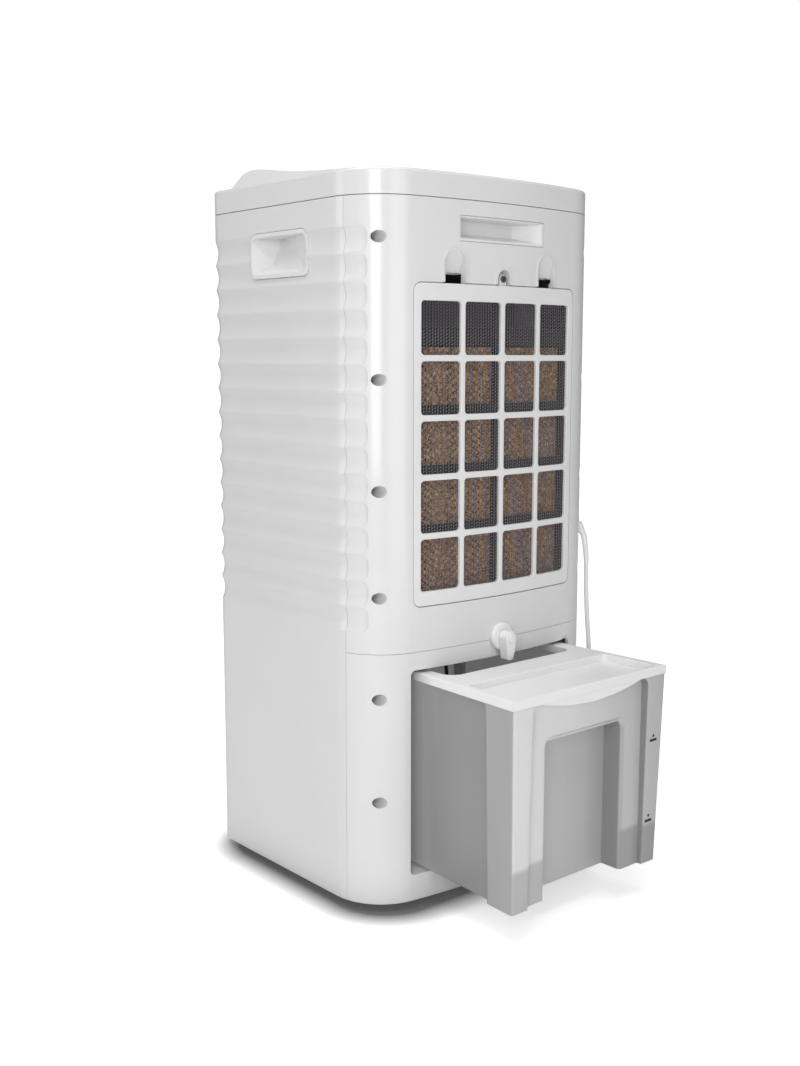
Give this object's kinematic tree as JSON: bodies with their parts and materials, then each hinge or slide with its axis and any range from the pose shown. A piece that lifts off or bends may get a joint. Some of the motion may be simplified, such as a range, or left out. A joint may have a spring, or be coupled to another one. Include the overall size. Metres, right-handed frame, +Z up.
{
  "type": "evaporative cooler",
  "caption": "Upright evaporative air cooler with a fluted housing, rear cooling-pad grille, pull-out water tank, tilting louvres, swinging vanes and a mains lead.",
  "frame": {"origin": "on the floor under the centre of the footprint, with the tank drawn out to its filling stop and the loose lead left out", "axes": "+Z up, +Y towards the rear face with the pad grille and tank, -Y towards the air outlet, +X to the right-handed side"},
  "size_m": [0.4007, 0.4002, 0.7168],
  "materials": {
    "shell_white": "gloss moulded",
    "lid_white": "gloss moulded",
    "trim_white": "satin moulded",
    "base_grey": "matt moulded",
    "foot_rubber": "matt",
    "screw_steel": "zinc plated",
    "mesh_dark": "woven nylon",
    "cage_dark": "matt moulded",
    "pad_brown": "corrugated cellulose",
    "inner_grey": "matt moulded",
    "fan_black": "matt moulded",
    "motor_metal": "satin",
    "shaft_steel": "turned",
    "board_green": "solder mask",
    "window_smoke": "polished",
    "button_white": "satin moulded",
    "hose_clear": "soft",
    "lead_black": "soft",
    "tank_frost": "frosted translucent",
    "tank_white": "gloss moulded",
    "cord_white": "soft",
    "pin_metal": "nickel plated"
  },
  "bodies": {
    "root": {"front_shell": "shell_white", "rear_shell": "shell_white", "rear_lower_panel": "shell_white", "base_pan": "base_grey", "rubber_feet": "foot_rubber", "top_lid": "lid_white", "control_console": "lid_white", "display_window": "window_smoke", "control_board": "board_green", "side_handle_cup_left": "trim_white", "side_handle_cup_right": "trim_white", "rear_handle_cup": "trim_white", "housing_screws": "screw_steel", "pad_holder": "cage_dark", "cooling_pad": "pad_brown", "water_trough": "cage_dark", "drip_deck": "inner_grey", "pump_body": "fan_black", "riser_pipe": "hose_clear", "water_hose": "hose_clear", "pump_lead": "lead_black", "scroll_housing": "inner_grey", "air_duct": "inner_grey", "fan_motor": "motor_metal", "motor_bracket": "motor_metal", "outlet_frame": "trim_white", "swing_motor": "motor_metal", "latch_flange": "tank_white", "cord_gland": "cord_white", "power_cord": "cord_white", "cord_coil": "cord_white", "plug": "cord_white", "plug_pins": "pin_metal"},
    "tank": {"tank": "tank_frost", "tank_cover": "tank_white"},
    "latch": {"latch_lever": "tank_white"},
    "grille": {"grille_frame": "trim_white", "filter_mesh": "mesh_dark", "grille_screw": "screw_steel"},
    "fan": {"blower_wheel": "fan_black", "blower_shaft": "shaft_steel"},
    "impeller": {"pump_impeller": "inner_grey"},
    "vane_link": {"vane_link": "trim_white"},
    "button_power": {"button_power": "button_white"},
    "button_speed": {"button_speed": "button_white"},
    "button_swing": {"button_swing": "button_white"},
    "button_cool": {"button_cool": "button_white"},
    "louvre_1": {"louvre_1": "trim_white"},
    "louvre_2": {"louvre_2": "trim_white"},
    "louvre_3": {"louvre_3": "trim_white"},
    "louvre_4": {"louvre_4": "trim_white"},
    "louvre_5": {"louvre_5": "trim_white"},
    "louvre_6": {"louvre_6": "trim_white"},
    "vane_1": {"vane_1": "trim_white"},
    "vane_2": {"vane_2": "trim_white"},
    "vane_3": {"vane_3": "trim_white"},
    "vane_4": {"vane_4": "trim_white"},
    "vane_5": {"vane_5": "trim_white"},
    "vane_6": {"vane_6": "trim_white"}
  },
  "joints": [
    {"name": "tank_slide", "type": "slide", "parent": "root", "child": "tank", "axis": [0, 1, 0], "range_m": [-0.124, 0]},
    {"name": "latch_turn", "type": "hinge", "parent": "root", "child": "latch", "pos_m": [0, 0.08815, 0.257], "axis": [0, 1, 0], "range_deg": [-90, 90]},
    {"name": "grille_tilt", "type": "hinge", "parent": "root", "child": "grille", "pos_m": [0, 0.07715, 0.298], "axis": [-1, 0, 0], "range_deg": [0, 30]},
    {"name": "fan_spin", "type": "hinge", "parent": "root", "child": "fan", "pos_m": [-0.004, -0.06185, 0.352], "axis": [0, 1, 0], "continuous": true},
    {"name": "impeller_spin", "type": "hinge", "parent": "root", "child": "impeller", "pos_m": [-0.058, -0.04385, 0.06], "axis": [0, 0, 1], "continuous": true},
    {"name": "press_power", "type": "slide", "parent": "root", "child": "button_power", "axis": [0, 0.7727, -0.6347], "range_m": [0, 0.0008], "stiffness_N_per_m": 400, "springref_m": -0.0004},
    {"name": "press_speed", "type": "slide", "parent": "root", "child": "button_speed", "axis": [0, 0.7727, -0.6347], "range_m": [0, 0.0008], "stiffness_N_per_m": 400, "springref_m": -0.0004},
    {"name": "press_swing", "type": "slide", "parent": "root", "child": "button_swing", "axis": [0, 0.7727, -0.6347], "range_m": [0, 0.0008], "stiffness_N_per_m": 400, "springref_m": -0.0004},
    {"name": "press_cool", "type": "slide", "parent": "root", "child": "button_cool", "axis": [0, 0.7727, -0.6347], "range_m": [0, 0.0008], "stiffness_N_per_m": 400, "springref_m": -0.0004},
    {"name": "louvre_1_tilt", "type": "hinge", "parent": "root", "child": "louvre_1", "pos_m": [0, -0.18535, 0.4795], "axis": [1, 0, 0], "range_deg": [-35, 35]},
    {"name": "louvre_2_tilt", "type": "hinge", "parent": "root", "child": "louvre_2", "pos_m": [0, -0.18535, 0.5065], "axis": [1, 0, 0], "range_deg": [-35, 35]},
    {"name": "louvre_3_tilt", "type": "hinge", "parent": "root", "child": "louvre_3", "pos_m": [0, -0.18535, 0.5335], "axis": [1, 0, 0], "range_deg": [-35, 35]},
    {"name": "louvre_4_tilt", "type": "hinge", "parent": "root", "child": "louvre_4", "pos_m": [0, -0.18535, 0.5605], "axis": [1, 0, 0], "range_deg": [-35, 35]},
    {"name": "louvre_5_tilt", "type": "hinge", "parent": "root", "child": "louvre_5", "pos_m": [0, -0.18535, 0.5875], "axis": [1, 0, 0], "range_deg": [-35, 35]},
    {"name": "louvre_6_tilt", "type": "hinge", "parent": "root", "child": "louvre_6", "pos_m": [0, -0.18535, 0.6145], "axis": [1, 0, 0], "range_deg": [-35, 35]},
    {"name": "vane_1_swing", "type": "hinge", "parent": "root", "child": "vane_1", "pos_m": [-0.0925, -0.16585, 0.547], "axis": [0, 0, 1], "range_deg": [-35, 35]},
    {"name": "vane_2_swing", "type": "hinge", "parent": "root", "child": "vane_2", "pos_m": [-0.0555, -0.16585, 0.547], "axis": [0, 0, 1], "range_deg": [-35, 35]},
    {"name": "vane_3_swing", "type": "hinge", "parent": "root", "child": "vane_3", "pos_m": [-0.0185, -0.16585, 0.547], "axis": [0, 0, 1], "range_deg": [-35, 35]},
    {"name": "vane_4_swing", "type": "hinge", "parent": "root", "child": "vane_4", "pos_m": [0.0185, -0.16585, 0.547], "axis": [0, 0, 1], "range_deg": [-35, 35]},
    {"name": "vane_5_swing", "type": "hinge", "parent": "root", "child": "vane_5", "pos_m": [0.0555, -0.16585, 0.547], "axis": [0, 0, 1], "range_deg": [-35, 35]},
    {"name": "vane_6_swing", "type": "hinge", "parent": "root", "child": "vane_6", "pos_m": [0.0925, -0.16585, 0.547], "axis": [0, 0, 1], "range_deg": [-35, 35]},
    {"name": "link_turn", "type": "hinge", "parent": "vane_1", "child": "vane_link", "pos_m": [-0.0925, -0.15985, 0.471], "axis": [0, 0, 1], "range_deg": [-35, 35]}
  ],
  "couplings": [
    {"joint": "louvre_2_tilt", "follows": "louvre_1_tilt", "ratio": 1},
    {"joint": "louvre_3_tilt", "follows": "louvre_1_tilt", "ratio": 1},
    {"joint": "louvre_4_tilt", "follows": "louvre_1_tilt", "ratio": 1},
    {"joint": "louvre_5_tilt", "follows": "louvre_1_tilt", "ratio": 1},
    {"joint": "louvre_6_tilt", "follows": "louvre_1_tilt", "ratio": 1},
    {"joint": "vane_2_swing", "follows": "vane_1_swing", "ratio": 1},
    {"joint": "vane_3_swing", "follows": "vane_1_swing", "ratio": 1},
    {"joint": "vane_4_swing", "follows": "vane_1_swing", "ratio": 1},
    {"joint": "vane_5_swing", "follows": "vane_1_swing", "ratio": 1},
    {"joint": "vane_6_swing", "follows": "vane_1_swing", "ratio": 1},
    {"joint": "link_turn", "follows": "vane_1_swing", "ratio": -1}
  ]
}
